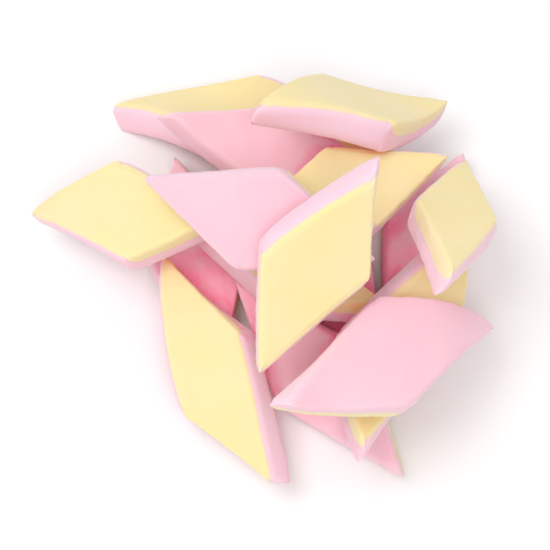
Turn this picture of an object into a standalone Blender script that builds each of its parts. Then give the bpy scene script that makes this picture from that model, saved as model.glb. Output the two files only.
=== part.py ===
"""A loose heap of two-tone marshmallows: slanted slabs of pink and yellow foam, lying as they were tipped.

Every slab is cut slantwise from one long extruded band. Two of its sides are the band's own rounded
flanks, where the pink wraps up towards the yellow face, and the other two are knife cuts that show pink
and yellow half and half. Each slab is an empty that carries two closed solids, its pink layer and its
yellow layer. HEAP says how each slab lies, from the lowest to the highest, and its height is found by
lowering it on to what is already there. Metres, +Z up. The heap stands on Z = 0, centred on the origin.
"""

from math import cos, radians, sin

import bmesh
import bpy
from mathutils import Matrix, Vector
from mathutils.bvhtree import BVHTree

MM = 0.001
COLLECTION = "marshmallows"

# One slab
THICKNESS = 8.4 * MM
LAYER_GAP = 0.3 * MM
CUT_PINK = 0.50
FLANK_PINK = 0.92
WRAP_POWER = 6
CORNER_POWER = 14

# How far the faces stand in from a side's widest line, and how square that side's profile is
FLANK_INSET = 2.2 * MM
FLANK_POWER = 2.8
CUT_INSET = 1.2 * MM
CUT_POWER = 4.0

# The lattice that a layer is shaped from: rows across the slab, levels from its inner to its outer face
ROWS = (-0.866, -0.5, 0.0, 0.5, 0.866)
LEVELS = (0.0, 0.7)

# Lowering a slab on to the heap
DROP_FROM = 120 * MM
DROP_STEP = 1.0 * MM
DROP_PRECISION = 0.02 * MM
REST_GAP = 0.3 * MM

COLOURS = {
    "pink": (0.94, 0.60, 0.70, 1.0),
    "yellow": (0.97, 0.85, 0.45, 1.0),
}
ROUGHNESS = 0.85


class Slab:
    """How one marshmallow is cut, bent and laid, with lengths in millimetres and angles in degrees.

    up is the colour of the face on top. heading, pitch and roll turn the slab's long diagonal, which ends
    in a sharp corner. flank and cut are the lengths of its rounded and its cut sides, and acute is its
    sharp corner. tips and wings are how far the sharp and the blunt corners bend up, twist lifts two
    opposite sides, sway bends the two tips opposite ways, and curl lifts one wing tip and drops the other.
    A mirrored slab was cut with the slant going the other way.
    """

    def __init__(self, name, up, at, heading, pitch=0, roll=0, flank=36, cut=36, acute=50,
                 tips=0, wings=0, twist=0, sway=0, curl=0, mirrored=False):
        self.name = name
        self.up = up
        self.at = Vector((*at, 0)) * MM
        self.turn = [radians(angle) for angle in (heading, pitch, roll)]
        self.flank = flank * MM
        self.cut = cut * MM
        self.acute = radians(acute)
        self.bend = [rise * MM for rise in (tips, wings, twist, sway, curl)]
        self.mirrored = mirrored

    def matrix(self):
        heading, pitch, roll = self.turn
        tipped = Matrix.Rotation(-pitch, 4, "Y") @ Matrix.Rotation(roll, 4, "X")
        return Matrix.Translation(self.at) @ Matrix.Rotation(heading, 4, "Z") @ tipped


HEAP = [
    Slab("low_left", "pink", (-19, 8.5), 102, pitch=1, roll=-1, flank=32, cut=31, acute=48),
    Slab("low_back_right", "pink", (37, 13), 65, pitch=-1, roll=3, flank=31, cut=28, acute=49),
    Slab("low_middle", "pink", (12, 4), 120, flank=32, cut=30),
    Slab("back_left", "yellow", (-6, 43.5), 170, pitch=5, roll=13, flank=37, cut=40, acute=44, tips=-2,
         wings=2.5, twist=3, sway=-6.5, curl=-3.5),
    Slab("low_front", "pink", (11, -22.5), 129, pitch=6, roll=-20, cut=34, acute=42, tips=1.5, curl=1),
    Slab("core", "yellow", (2, 2), -22, pitch=-6, roll=-19, flank=34, cut=28, acute=45, tips=1),
    Slab("front_left", "yellow", (-14, -24), 124, pitch=9, roll=-28, flank=37, cut=32, acute=43,
         tips=-4, wings=1, twist=1.5, sway=-7.5, curl=1.5),
    Slab("left_end", "yellow", (-35.5, 13), 173, pitch=-15, flank=32, cut=27, acute=55, tips=-3.5,
         sway=-5),
    Slab("back_middle", "pink", (-0.5, 32), 169, pitch=9, roll=-2, flank=32, cut=32, acute=44, tips=4,
         sway=3.5, mirrored=True),
    Slab("low_right", "yellow", (29.5, -16), 68, pitch=5, roll=33, flank=43, cut=30, acute=47, tips=8,
         wings=-1, twist=1, sway=-4.5, curl=-5),
    Slab("middle_right", "yellow", (17.5, 18), 26, pitch=-17, roll=3, flank=32, cut=31, acute=46,
         tips=1.5),
    Slab("back_right", "yellow", (18.5, 37), 14, pitch=-42, roll=-35, flank=35, cut=33, acute=45,
         sway=6, curl=5.5),
    Slab("front_right", "pink", (26.5, -26.5), 28, pitch=-19, roll=-4, flank=40, cut=33, acute=45,
         tips=-5.5, wings=-1, sway=-8.5, curl=10),
    Slab("right_end", "yellow", (41.5, 6), 82, pitch=-36, roll=12, flank=29, cut=29, acute=43, tips=-1,
         curl=3),
    Slab("left_top", "pink", (-3.5, 5), 160, pitch=4, roll=-29, flank=33, cut=32, acute=48, curl=2),
    Slab("centre_top", "yellow", (9, -7.5), 55, pitch=42, roll=29, flank=35, cut=33, acute=47, tips=5.5,
         sway=1, curl=-1),
]


def lattice_block():
    """A two-unit cube cut into rows and levels, ready to be shaped."""
    block = bmesh.new()
    bmesh.ops.create_cube(block, size=2.0)
    for axis, cuts in enumerate((ROWS, ROWS, LEVELS)):
        normal = Vector([float(axis == i) for i in range(3)])
        for cut in cuts:
            everything = [*block.verts, *block.edges, *block.faces]
            bmesh.ops.bisect_plane(block, geom=everything, plane_co=normal * cut, plane_no=normal)
    return block


def side_inset(height, inset, power):
    """How far a side stands in, at this height above the slab's middle, from its widest line."""
    reach = min(abs(height) / (THICKNESS / 2), 1.0)
    return inset * (1.0 - (1.0 - reach**power) ** (1.0 / power))


def bent_point(slab, x, y, height):
    """The point that lies this height above the slab's bent middle surface."""
    tips, wings, twist, sway, curl = slab.bend
    half_side = (slab.flank + slab.cut) / 2
    long_half = half_side * cos(slab.acute / 2)
    short_half = half_side * sin(slab.acute / 2)
    a = x / long_half
    b = y / short_half
    rise = tips * a**2 + wings * b**2 + 4 * twist * a * b + sway * a**3 + curl * a**2 * b
    slope_x = (2 * tips * a + 4 * twist * b + 3 * sway * a**2 + 2 * curl * a * b) / long_half
    slope_y = (2 * wings * b + 4 * twist * a + curl * a**2) / short_half
    return Vector((x, y, rise)) + Vector((-slope_x, -slope_y, 1.0)).normalized() * height


def slab_point(slab, flank_place, cut_place, height):
    """A point of the slab: how far it is towards a flank and a cut side (-1 to 1), and above the middle."""
    sine = sin(slab.acute)
    flank_place *= 1.0 - side_inset(height, FLANK_INSET, FLANK_POWER) / (slab.cut * sine / 2)
    cut_place *= 1.0 - side_inset(height, CUT_INSET, CUT_POWER) / (slab.flank * sine / 2)
    reach = max(abs(flank_place), abs(cut_place))
    if reach > 0:
        powers = abs(flank_place) ** CORNER_POWER + abs(cut_place) ** CORNER_POWER
        rounding = reach / powers ** (1 / CORNER_POWER)
        flank_place *= rounding
        cut_place *= rounding
    along_cut = flank_place * slab.cut / 2
    along_flank = cut_place * slab.flank / 2
    x = (along_cut + along_flank) * cos(slab.acute / 2)
    y = (along_cut - along_flank) * sin(slab.acute / 2)
    if (slab.up == "pink") != slab.mirrored:
        y = -y
    return bent_point(slab, x, y, height)


def make_layer(slab, colour):
    """The mesh of one colour's layer: from the line where the colours meet out to that colour's face."""
    side = 1.0 if colour == slab.up else -1.0
    pink_side = 1.0 if slab.up == "pink" else -1.0
    block = lattice_block()
    for vertex in block.verts:
        flank_place, cut_place, level = vertex.co
        pink_share = CUT_PINK + (FLANK_PINK - CUT_PINK) * abs(flank_place) ** WRAP_POWER
        meeting = pink_side * (THICKNESS / 2 - THICKNESS * pink_share)
        inner = meeting + side * LAYER_GAP / 2
        outer = side * THICKNESS / 2
        height = inner + (outer - inner) * (level + 1.0) / 2
        vertex.co = slab_point(slab, flank_place, cut_place, height)
    if (colour == "yellow") != slab.mirrored:
        bmesh.ops.reverse_faces(block, faces=block.faces)
    mesh = bpy.data.meshes.new(f"{slab.name}_{colour}")
    block.to_mesh(mesh)
    block.free()
    return mesh


def outer_surface(meshes, matrix):
    """The points and faces of all the meshes together, placed by the matrix."""
    points = []
    faces = []
    for mesh in meshes:
        first = len(points)
        points += [matrix @ vertex.co for vertex in mesh.vertices]
        faces += [[first + index for index in face.vertices] for face in mesh.polygons]
    return points, faces


def resting_height(points, faces, heap_trees):
    """The height at which the slab, lowered from above, comes to rest on the floor or on the heap."""
    floor_height = -min(point.z for point in points)

    def blocked(height):
        lifted = BVHTree.FromPolygons([point + Vector((0, 0, height)) for point in points], faces)
        return any(tree.overlap(lifted) for tree in heap_trees)

    height = DROP_FROM
    while height > floor_height and not blocked(height):
        height -= DROP_STEP
    if height <= floor_height and not blocked(floor_height):
        return floor_height
    low = max(height, floor_height)
    high = low + DROP_STEP
    while high - low > DROP_PRECISION:
        middle = (low + high) / 2
        if blocked(middle):
            low = middle
        else:
            high = middle
    return high + REST_GAP


def foam_material(name, colour):
    material = bpy.data.materials.new(name)
    material.use_nodes = True
    shader = material.node_tree.nodes["Principled BSDF"]
    shader.inputs["Base Color"].default_value = COLOURS[colour]
    shader.inputs["Roughness"].default_value = ROUGHNESS
    shader.inputs["Metallic"].default_value = 0.0
    material.diffuse_color = COLOURS[colour]
    return material


def make_slab(slab, heap_trees, collection):
    """Makes one marshmallow, lowers it on to the heap, and returns the empty that carries its layers."""
    meshes = {colour: make_layer(slab, colour) for colour in COLOURS}
    points, faces = outer_surface(meshes.values(), slab.matrix())
    height = resting_height(points, faces, heap_trees)
    lift = Vector((0, 0, height))
    heap_trees.append(BVHTree.FromPolygons([point + lift for point in points], faces))
    holder = bpy.data.objects.new(slab.name, None)
    holder.matrix_world = Matrix.Translation(lift) @ slab.matrix()
    collection.objects.link(holder)
    for colour, mesh in meshes.items():
        layer = bpy.data.objects.new(mesh.name, mesh)
        layer.parent = holder
        layer.data.materials.append(foam_material(mesh.name, colour))
        collection.objects.link(layer)
    return holder


def centre_on_origin(holders):
    """Moves the heap sideways so that its box is centred over the origin."""
    bpy.context.view_layer.update()
    corners = [
        layer.matrix_world @ vertex.co
        for holder in holders
        for layer in holder.children
        for vertex in layer.data.vertices
    ]
    middle = Vector((
        (min(point.x for point in corners) + max(point.x for point in corners)) / 2,
        (min(point.y for point in corners) + max(point.y for point in corners)) / 2,
        0.0,
    ))
    for holder in holders:
        holder.location -= middle


def main():
    for leftover in list(bpy.data.objects):
        bpy.data.objects.remove(leftover, do_unlink=True)
    collection = bpy.data.collections.new(COLLECTION)
    bpy.context.scene.collection.children.link(collection)
    heap_trees = []
    holders = [make_slab(slab, heap_trees, collection) for slab in HEAP]
    centre_on_origin(holders)
    bpy.context.view_layer.update()


main()
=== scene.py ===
"""The heap of two-tone marshmallows: each slab of foam as one smooth, slightly uneven, dusted body."""

from math import cos, exp, pi, radians, sin

import bpy
from mathutils import Matrix, Vector, noise
from mathutils.bvhtree import BVHTree


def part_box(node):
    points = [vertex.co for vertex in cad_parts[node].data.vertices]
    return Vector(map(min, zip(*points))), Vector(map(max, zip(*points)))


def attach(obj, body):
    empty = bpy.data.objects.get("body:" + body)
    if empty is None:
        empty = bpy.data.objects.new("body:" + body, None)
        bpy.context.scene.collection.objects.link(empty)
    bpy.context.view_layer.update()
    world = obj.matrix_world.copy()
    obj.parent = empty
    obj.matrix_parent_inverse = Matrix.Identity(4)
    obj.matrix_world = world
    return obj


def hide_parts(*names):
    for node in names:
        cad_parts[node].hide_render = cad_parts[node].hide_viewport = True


MM = 0.001

# One slab, as the part has it
THICKNESS = 8.4
CUT_PINK = 0.50
FLANK_PINK = 0.92
WRAP_POWER = 6
CORNER_POWER = 14
FLANK_INSET = 2.2
FLANK_POWER = 2.8
CUT_INSET = 1.2
CUT_POWER = 4.0

# The fine lattice: rows across the slab, closer together towards its sides, and levels through the thickness
ROW_COUNT = 56
LEVEL_COUNT = 9
ROW_SPREAD = 0.72
LEVEL_POWER = 3.0

# How uneven the foam is: lengths in millimetres
SWELL = 0.24
SWELL_SIZE = 15.0
DIMPLE = 0.10
DIMPLE_SIZE = 3.6
DRAG = 0.16
DRAG_SIZE = 1.5
DRAG_STRETCH = 0.15
SEAM_GROOVE = 0.22
SEAM_WIDTH = 0.55
SEAM_WANDER = 0.35
SEAM_WANDER_SIZE = 6.0
FAR_FROM_SEAM = 9 * SEAM_WIDTH
CUT_EDGE = 0.97

# How far the noise moves on from one slab to the next, so that no two are alike
SEED_SHIFT = Vector((37.0, 11.0, 5.0))
SIDE_SHIFT = 9.0
GRAIN_SHIFT = 3.1

# Where the painted light from above lies: below the faces' edges and on sides that look up, each with the
# span of its fading
RIM_TOP = 0.95
RIM_TOP_FADE = 0.2
RIM_SLOPE = 0.30
RIM_SLOPE_FADE = 0.3

# Where the painted shade deepens the colour: rings of rays, by count and rise, that look for free air this
# far off
PAINTED_SHADE_REACH = 45 * MM
SKIN_GAP = 0.4 * MM
SKY_RINGS = ((6, 0.25), (9, 0.6), (9, 0.88))


class Slab:
    """How one marshmallow is cut, bent and laid, with lengths in millimetres and angles in degrees."""

    def __init__(self, name, up, at, heading, pitch=0, roll=0, flank=36, cut=36, acute=50,
                 tips=0, wings=0, twist=0, sway=0, curl=0, mirrored=False):
        self.name = name
        self.up = up
        self.at = at
        self.turn = [radians(angle) for angle in (heading, pitch, roll)]
        self.flank = flank
        self.cut = cut
        self.acute = radians(acute)
        self.bend = (tips, wings, twist, sway, curl)
        self.mirrored = mirrored

    def matrix(self):
        heading, pitch, roll = self.turn
        about_z = Matrix.Rotation(heading, 4, "Z")
        return about_z @ Matrix.Rotation(-pitch, 4, "Y") @ Matrix.Rotation(roll, 4, "X")


HEAP = [
    Slab("low_left", "pink", (-19, 8.5), 102, pitch=1, roll=-1, flank=32, cut=31, acute=48),
    Slab("low_back_right", "pink", (37, 13), 65, pitch=-1, roll=3, flank=31, cut=28, acute=49),
    Slab("low_middle", "pink", (12, 4), 120, flank=32, cut=30),
    Slab("back_left", "yellow", (-6, 43.5), 170, pitch=5, roll=13, flank=37, cut=40, acute=44, tips=-2,
         wings=2.5, twist=3, sway=-6.5, curl=-3.5),
    Slab("low_front", "pink", (11, -22.5), 129, pitch=6, roll=-20, cut=34, acute=42, tips=1.5, curl=1),
    Slab("core", "yellow", (2, 2), -22, pitch=-6, roll=-19, flank=34, cut=28, acute=45, tips=1),
    Slab("front_left", "yellow", (-14, -24), 124, pitch=9, roll=-28, flank=37, cut=32, acute=43,
         tips=-4, wings=1, twist=1.5, sway=-7.5, curl=1.5),
    Slab("left_end", "yellow", (-35.5, 13), 173, pitch=-15, flank=32, cut=27, acute=55, tips=-3.5,
         sway=-5),
    Slab("back_middle", "pink", (-0.5, 32), 169, pitch=9, roll=-2, flank=32, cut=32, acute=44, tips=4,
         sway=3.5, mirrored=True),
    Slab("low_right", "yellow", (29.5, -16), 68, pitch=5, roll=33, flank=43, cut=30, acute=47, tips=8,
         wings=-1, twist=1, sway=-4.5, curl=-5),
    Slab("middle_right", "yellow", (17.5, 18), 26, pitch=-17, roll=3, flank=32, cut=31, acute=46,
         tips=1.5),
    Slab("back_right", "yellow", (18.5, 37), 14, pitch=-42, roll=-35, flank=35, cut=33, acute=45,
         sway=6, curl=5.5),
    Slab("front_right", "pink", (26.5, -26.5), 28, pitch=-19, roll=-4, flank=40, cut=33, acute=45,
         tips=-5.5, wings=-1, sway=-8.5, curl=10),
    Slab("right_end", "yellow", (41.5, 6), 82, pitch=-36, roll=12, flank=29, cut=29, acute=43, tips=-1,
         curl=3),
    Slab("left_top", "pink", (-3.5, 5), 160, pitch=4, roll=-29, flank=33, cut=32, acute=48, curl=2),
    Slab("centre_top", "yellow", (9, -7.5), 55, pitch=42, roll=29, flank=35, cut=33, acute=47, tips=5.5,
         sway=1, curl=-1),
]


def spread_rows():
    """Places from -1 to 1, closer together towards the ends."""
    rows = []
    for step in range(ROW_COUNT + 1):
        even = 2 * step / ROW_COUNT - 1
        rows.append((1 - ROW_SPREAD) * even + ROW_SPREAD * sin(even * pi / 2))
    return rows


def spread_levels():
    """Heights from -1 to 1, spaced evenly along the rounded profile of a side."""
    levels = []
    for step in range(-LEVEL_COUNT, LEVEL_COUNT + 1):
        turn = step / LEVEL_COUNT * pi / 2
        reach = abs(sin(turn)) ** (2 / LEVEL_POWER)
        levels.append(reach if step >= 0 else -reach)
    return levels


def closed_lattice(rows, levels):
    """Points and faces of a closed box: rows across both ways, levels through the thickness."""
    last = len(rows) - 1
    top = len(levels) - 1
    index = {}
    points = []
    faces = []

    def corner(i, j, k):
        if (i, j, k) not in index:
            index[i, j, k] = len(points)
            points.append((rows[i], rows[j], levels[k]))
        return index[i, j, k]

    def add_face(*corners):
        faces.append([corner(*place) for place in corners])

    for i in range(last):
        for j in range(last):
            add_face((i, j, 0), (i, j + 1, 0), (i + 1, j + 1, 0), (i + 1, j, 0))
            add_face((i, j, top), (i + 1, j, top), (i + 1, j + 1, top), (i, j + 1, top))
    for i in range(last):
        for k in range(top):
            add_face((i, 0, k), (i + 1, 0, k), (i + 1, 0, k + 1), (i, 0, k + 1))
            add_face((i, last, k), (i, last, k + 1), (i + 1, last, k + 1), (i + 1, last, k))
            add_face((0, i, k), (0, i, k + 1), (0, i + 1, k + 1), (0, i + 1, k))
            add_face((last, i, k), (last, i + 1, k), (last, i + 1, k + 1), (last, i, k + 1))
    return points, faces


def side_inset(height, inset, power):
    """How far a side stands in, at this height above the slab's middle, from its widest line."""
    reach = min(abs(height) / (THICKNESS / 2), 1.0)
    return inset * (1.0 - (1.0 - reach**power) ** (1.0 / power))


def bent_point(slab, x, y, height):
    """The point that lies this height above the slab's bent middle surface."""
    tips, wings, twist, sway, curl = slab.bend
    half_side = (slab.flank + slab.cut) / 2
    long_half = half_side * cos(slab.acute / 2)
    short_half = half_side * sin(slab.acute / 2)
    a = x / long_half
    b = y / short_half
    rise = tips * a**2 + wings * b**2 + 4 * twist * a * b + sway * a**3 + curl * a**2 * b
    slope_x = (2 * tips * a + 4 * twist * b + 3 * sway * a**2 + 2 * curl * a * b) / long_half
    slope_y = (2 * wings * b + 4 * twist * a + curl * a**2) / short_half
    return Vector((x, y, rise)) + Vector((-slope_x, -slope_y, 1.0)).normalized() * height


def slab_point(slab, flank_place, cut_place, height):
    """A point of the slab: how far it is towards a flank and a cut side (-1 to 1), and above the middle."""
    sine = sin(slab.acute)
    flank_place *= 1.0 - side_inset(height, FLANK_INSET, FLANK_POWER) / (slab.cut * sine / 2)
    cut_place *= 1.0 - side_inset(height, CUT_INSET, CUT_POWER) / (slab.flank * sine / 2)
    reach = max(abs(flank_place), abs(cut_place))
    if reach > 0:
        norm = (abs(flank_place) ** CORNER_POWER + abs(cut_place) ** CORNER_POWER) ** (1 / CORNER_POWER)
        flank_place *= reach / norm
        cut_place *= reach / norm
    along_cut = flank_place * slab.cut / 2
    along_flank = cut_place * slab.flank / 2
    x = (along_cut + along_flank) * cos(slab.acute / 2)
    y = (along_cut - along_flank) * sin(slab.acute / 2)
    if (slab.up == "pink") != slab.mirrored:
        y = -y
    return bent_point(slab, x, y, height)


def seam_distance(slab, flank_place, height):
    """How far above the line where the colours meet a point lies, counted towards the yellow face."""
    yellow_side = 1.0 if slab.up == "yellow" else -1.0
    pink_share = CUT_PINK + (FLANK_PINK - CUT_PINK) * abs(flank_place) ** WRAP_POWER
    meeting = yellow_side * (THICKNESS * pink_share - THICKNESS / 2)
    return (height - meeting) * yellow_side


def unevenness(place, side_run, on_cut, seam):
    """How far the foam stands proud of its plain form here."""
    swell = SWELL * noise.noise(place / SWELL_SIZE)
    dimple = DIMPLE * noise.noise(place / DIMPLE_SIZE)
    drag = on_cut * DRAG * noise.noise(Vector((side_run / DRAG_SIZE, DRAG_STRETCH * seam, place.z)))
    groove = SEAM_GROOVE * exp(-((seam / SEAM_WIDTH) ** 2))
    return swell + dimple + drag - groove


def slab_mesh(slab, seed, places, faces):
    """The slab's smooth skin in its own frame, in millimetres, and each point's distance from the seam."""
    shift = SEED_SHIFT * seed
    points = [slab_point(slab, u, v, level * THICKNESS / 2) for u, v, level in places]
    mesh = bpy.data.meshes.new(slab.name)
    mesh.from_pydata(points, [], faces)
    if (slab.up == "yellow") != slab.mirrored:
        mesh.flip_normals()
    mesh.update()
    normals = [vertex.normal.copy() for vertex in mesh.vertices]
    seam_values = []
    for vertex, (u, v, level) in zip(mesh.vertices, places):
        place = vertex.co + shift
        wander = SEAM_WANDER * noise.noise(place / SEAM_WANDER_SIZE)
        seam = seam_distance(slab, u, level * THICKNESS / 2) + wander
        on_side = abs(u) == 1 or abs(v) == 1
        on_cut = 1.0 if abs(v) == 1 and abs(level) < CUT_EDGE else 0.0
        side_run = u * slab.cut / 2 + SIDE_SHIFT * seed
        rise = unevenness(place, side_run, on_cut, seam if on_side else FAR_FROM_SEAM)
        vertex.co = vertex.co + normals[vertex.index] * rise
        seam_values.append(seam)
    return mesh, seam_values


def centre(corners):
    """The middle of a box given by its lowest and highest corners."""
    low, high = corners
    return (Vector(low) + Vector(high)) / 2


def box_of(points):
    """The lowest and highest corners of the box around the points."""
    return [min(p[i] for p in points) for i in range(3)], [max(p[i] for p in points) for i in range(3)]


def layers_box(slab):
    """The box that the slab's two CAD layers fill together."""
    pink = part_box(f"{slab.name}_pink")
    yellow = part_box(f"{slab.name}_yellow")
    return box_of([*pink, *yellow])


def add_values(mesh, name, values):
    """Stores one value for each point, for the material to read."""
    mesh.attributes.new(name, "FLOAT", "POINT").data.foreach_set("value", values)


def painted_light_value(normal, place):
    """How much painted light from above lies here: it stays on the sides that look up."""
    across, along, level = place
    if abs(across) < 1 and abs(along) < 1:
        return 0.0
    below_face = min(max((RIM_TOP - abs(level)) / RIM_TOP_FADE, 0.0), 1.0)
    return below_face * min(max((normal.z - RIM_SLOPE) / RIM_SLOPE_FADE, 0.0), 1.0)


def sky_rays():
    """Directions spread over the upper half of the air."""
    rays = []
    for count, rise in SKY_RINGS:
        flat = (1 - rise**2) ** 0.5
        for step in range(count):
            turn = 2 * pi * (step + 0.5 * rise) / count
            rays.append(Vector((flat * cos(turn), flat * sin(turn), rise)))
    return rays


def shade_openness(point, normal, heap, rays):
    """How much of the air above this point of the skin is free of other marshmallows, from 0 to 1."""
    free = 0.0
    total = 0.0
    for ray in rays:
        weight = max(ray.dot(normal), 0.0)
        if weight > 0.0:
            total += weight
            if heap.ray_cast(point + normal * SKIN_GAP, ray, PAINTED_SHADE_REACH)[0] is None:
                free += weight
    return free / total if total > 0.0 else 0.0


def add_painted_shade_openness(pieces):
    """Gives every piece the value that the painted shade in sheltered places follows."""
    points = []
    faces = []
    for piece in pieces:
        first = len(points)
        points += [vertex.co.copy() for vertex in piece.data.vertices]
        faces += [[first + index for index in polygon.vertices] for polygon in piece.data.polygons]
    heap = BVHTree.FromPolygons(points, faces)
    rays = sky_rays()
    for piece in pieces:
        values = [shade_openness(vertex.co, vertex.normal, heap, rays) for vertex in piece.data.vertices]
        add_values(piece.data, "painted_shade_open", values)


def add_marshmallow(slab, seed, places, faces):
    """Makes the slab's piece and lays it where the part has it."""
    turned = slab.matrix()
    plain = [turned @ slab_point(slab, u, v, level * THICKNESS / 2) for u, v, level in places]
    offset = centre(layers_box(slab)) - centre(box_of(plain)) * MM
    mesh, seam_values = slab_mesh(slab, seed, places, faces)
    mesh.transform(Matrix.Translation(offset) @ Matrix.Scale(MM, 4) @ turned)
    mesh.update()
    for polygon in mesh.polygons:
        polygon.use_smooth = True
    add_values(mesh, "seam", seam_values)
    add_values(mesh, "painted_light", [painted_light_value(vertex.normal, place) for vertex, place in zip(mesh.vertices, places)])
    mesh.materials.append(foam_material(slab.name, seed))
    piece = bpy.data.objects.new(f"marshmallow_{slab.name}", mesh)
    bpy.context.scene.collection.objects.link(piece)
    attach(piece, "root")
    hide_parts(f"{slab.name}_pink", f"{slab.name}_yellow")
    return piece


# The foam's colours: plain, with painted light on the sides that look up, and with painted shade deep in the
# heap
PINK = (0.86, 0.53, 0.61, 1.0)
PINK_PAINTED_LIGHT = (0.84, 0.58, 0.68, 1.0)
PINK_PAINTED_SHADE = (0.98, 0.26, 0.42, 1.0)
YELLOW = (0.84, 0.71, 0.36, 1.0)
YELLOW_PAINTED_LIGHT = (0.85, 0.73, 0.45, 1.0)
YELLOW_PAINTED_SHADE = (0.95, 0.58, 0.20, 1.0)
DUST = (0.90, 0.80, 0.82, 1.0)

# The sizes, in millimetres, of what the colour and the bump follow
PATCH_SIZE = 14.0
DUST_SIZE = 0.7
PORE_SIZE = 0.35
PORE_DEPTH = 0.08

FOAM = {
    "Subsurface Weight": 0.6,
    "Subsurface Radius": (1.0, 0.6, 0.5),
    "Subsurface Scale": 1.6 * MM,
    "Specular IOR Level": 0.25,
    "Sheen Weight": 0.18,
    "Sheen Roughness": 0.6,
    "Sheen Tint": (1.0, 0.93, 1.0, 1.0),
}


def foam_material(name, seed):
    """Soft foam of two colours, dusted with starch, with painted light on sides that look up and painted
    shade deep in the heap.
    """
    material = bpy.data.materials.new(f"foam_{name}")
    material.use_nodes = True
    tree = material.node_tree
    nodes = tree.nodes
    links = tree.links
    shader = nodes["Principled BSDF"]
    place = nodes.new("ShaderNodeTexCoord")

    def noise_node(size, detail, roughness):
        node = nodes.new("ShaderNodeTexNoise")
        node.noise_dimensions = "4D"
        node.inputs["W"].default_value = GRAIN_SHIFT * seed
        node.inputs["Scale"].default_value = 1 / (size * MM)
        node.inputs["Detail"].default_value = detail
        node.inputs["Roughness"].default_value = roughness
        links.new(place.outputs["Object"], node.inputs["Vector"])
        return node

    def mixed(first, second, factor):
        mix = nodes.new("ShaderNodeMix")
        mix.data_type = "RGBA"
        for socket, colour in ((mix.inputs[6], first), (mix.inputs[7], second)):
            if isinstance(colour, tuple):
                socket.default_value = colour
            else:
                links.new(colour, socket)
        links.new(factor, mix.inputs[0])
        return mix.outputs[2]

    def ranged(source, low, high, to_low=0.0, to_high=1.0):
        node = nodes.new("ShaderNodeMapRange")
        node.interpolation_type = "SMOOTHSTEP"
        node.inputs["From Min"].default_value = low
        node.inputs["From Max"].default_value = high
        node.inputs["To Min"].default_value = to_low
        node.inputs["To Max"].default_value = to_high
        links.new(source, node.inputs["Value"])
        return node.outputs["Result"]

    def value(name):
        node = nodes.new("ShaderNodeAttribute")
        node.attribute_name = name
        return node.outputs["Fac"]

    patches = noise_node(PATCH_SIZE, 1.0, 0.5)
    dust = noise_node(DUST_SIZE, 3.0, 0.6)
    pores = noise_node(PORE_SIZE, 2.0, 0.55)
    # Painted light: sides that look up turn paler and cooler, as where light from above falls
    painted_light = value("painted_light")
    # Painted shade: the colour deepens to crimson and orange where little of the air above is free
    painted_shade = ranged(value("painted_shade_open"), 0.38, 0.02)
    pink = mixed(mixed(PINK, PINK_PAINTED_LIGHT, painted_light), PINK_PAINTED_SHADE, painted_shade)
    yellow = mixed(mixed(YELLOW, YELLOW_PAINTED_LIGHT, painted_light), YELLOW_PAINTED_SHADE, painted_shade)
    colour = mixed(pink, yellow, ranged(value("seam"), -0.35, 0.35))
    patchy = ranged(patches.outputs["Fac"], 0.30, 0.70, 0.0, 0.10)
    dusted = mixed(mixed(colour, DUST, patchy), DUST, ranged(dust.outputs["Fac"], 0.50, 0.85, 0.0, 0.20))
    links.new(dusted, shader.inputs["Base Color"])
    links.new(ranged(dust.outputs["Fac"], 0.3, 0.7, 0.78, 0.95), shader.inputs["Roughness"])
    for socket_name, setting in FOAM.items():
        shader.inputs[socket_name].default_value = setting
    bump = nodes.new("ShaderNodeBump")
    bump.inputs["Strength"].default_value = 0.35
    bump.inputs["Distance"].default_value = PORE_DEPTH * MM
    links.new(pores.outputs["Fac"], bump.inputs["Height"])
    links.new(bump.outputs["Normal"], shader.inputs["Normal"])
    return material


# The studio, in metres and watts: floor, camera and lights
FLOOR_SIZE = 3.0
FLOOR_COLOUR = (0.87, 0.87, 0.87, 1.0)
VIEW_TARGET = Vector((0.0037, -0.0033, 0.018))
VIEW_DISTANCE = 0.600
VIEW_ELEVATION = radians(70)
LENS = 163.0
SENSOR = 36.0
LIGHT_TARGET = Vector((0.0, 0.0, 0.02))
SKY_STRENGTH = 0.70


def add_floor():
    """The plain pale surface under the heap."""
    bpy.ops.mesh.primitive_plane_add(size=FLOOR_SIZE)
    floor = bpy.context.active_object
    floor.name = "floor"
    material = bpy.data.materials.new("floor_white")
    material.use_nodes = True
    shader = material.node_tree.nodes["Principled BSDF"]
    shader.inputs["Base Color"].default_value = FLOOR_COLOUR
    shader.inputs["Roughness"].default_value = 0.9
    shader.inputs["Specular IOR Level"].default_value = 0.1
    floor.data.materials.append(material)


def look_at(thing, target):
    """Turns a camera or a light towards the target."""
    thing.rotation_euler = (target - thing.location).to_track_quat("-Z", "Y").to_euler()


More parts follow.
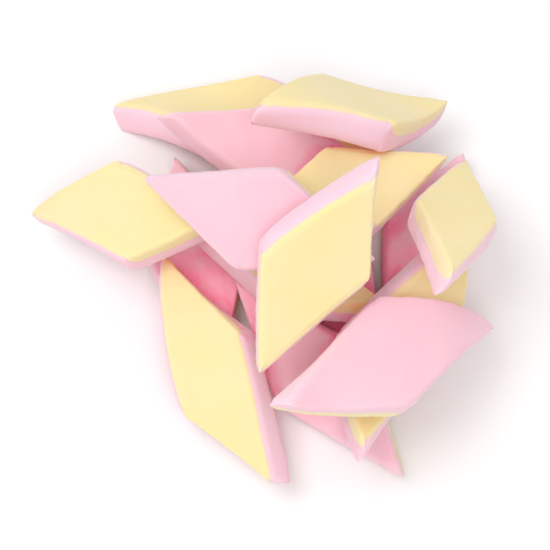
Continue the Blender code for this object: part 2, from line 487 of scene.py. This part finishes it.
def add_camera():
    """Looks down at the heap from the front."""
    camera = bpy.data.objects.new("camera", bpy.data.cameras.new("camera"))
    back = Vector((0.0, -cos(VIEW_ELEVATION), sin(VIEW_ELEVATION)))
    camera.location = VIEW_TARGET + back * VIEW_DISTANCE
    camera.data.lens = LENS
    camera.data.sensor_width = SENSOR
    camera.data.clip_start = 0.01
    look_at(camera, VIEW_TARGET)
    bpy.context.scene.collection.objects.link(camera)
    bpy.context.scene.camera = camera


def add_light(name, location, size, power, colour):
    """A square soft light that looks at the heap."""
    light = bpy.data.lights.new(name, "AREA")
    light.shape = "SQUARE"
    light.size = size
    light.energy = power
    light.color = colour
    holder = bpy.data.objects.new(name, light)
    holder.location = location
    look_at(holder, LIGHT_TARGET)
    bpy.context.scene.collection.objects.link(holder)


def add_lighting():
    """An even white room with a key light from the left and a fill light from the front."""
    world = bpy.data.worlds.new("studio")
    bpy.context.scene.world = world
    world.use_nodes = True
    sky = world.node_tree.nodes["Background"]
    sky.inputs["Color"].default_value = (1.0, 1.0, 1.0, 1.0)
    sky.inputs["Strength"].default_value = SKY_STRENGTH
    add_light("key", (-0.30, -0.05, 0.95), 0.45, 3.7, (1.0, 0.985, 0.97))
    add_light("fill", (0.06, -0.42, 0.90), 0.35, 2.5, (1.0, 0.985, 0.99))
    bpy.context.scene.view_settings.view_transform = "Standard"
    bpy.context.scene.view_settings.look = "None"


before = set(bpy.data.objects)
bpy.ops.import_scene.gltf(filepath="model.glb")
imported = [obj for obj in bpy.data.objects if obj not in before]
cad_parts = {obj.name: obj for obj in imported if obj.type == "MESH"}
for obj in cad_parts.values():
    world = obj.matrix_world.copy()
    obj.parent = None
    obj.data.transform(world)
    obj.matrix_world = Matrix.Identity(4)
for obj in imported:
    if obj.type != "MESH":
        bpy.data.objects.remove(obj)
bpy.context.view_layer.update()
lattice_places, lattice_faces = closed_lattice(spread_rows(), spread_levels())
marshmallows = [
    add_marshmallow(heap_slab, number, lattice_places, lattice_faces)
    for number, heap_slab in enumerate(HEAP)
]
add_painted_shade_openness(marshmallows)
add_floor()
add_camera()
add_lighting()
